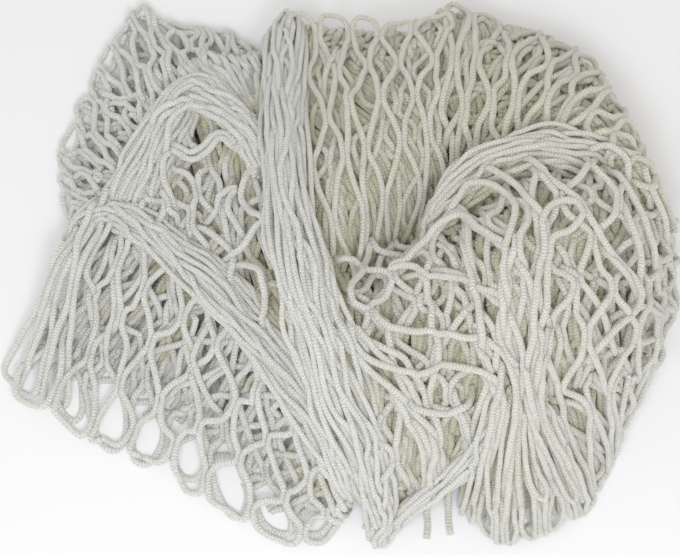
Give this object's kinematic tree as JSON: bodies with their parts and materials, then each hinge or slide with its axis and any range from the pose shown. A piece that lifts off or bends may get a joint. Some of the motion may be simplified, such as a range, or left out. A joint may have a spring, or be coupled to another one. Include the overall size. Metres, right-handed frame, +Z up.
{
  "type": "safety net, one panel of white knotless knitted-cord netting lying in a loose heap",
  "caption": "Crumpled heap of white knotless safety netting: gathered bands of cord over spread meshes, with looped edges, lying flat on its underside.",
  "frame": {"origin": "on the flat underside that the heap rests on, below the middle of the heap", "axes": "+Z up from the surface, +X along the heap's length towards its high, rounded lobe, +Y towards its back"},
  "size_m": [0.4005, 0.358, 0.1306],
  "materials": {
    "netting": "ribbed knitted polyester cord, matt"
  },
  "bodies": {
    "root": {"netting_panel": "netting"}
  },
  "joints": []
}
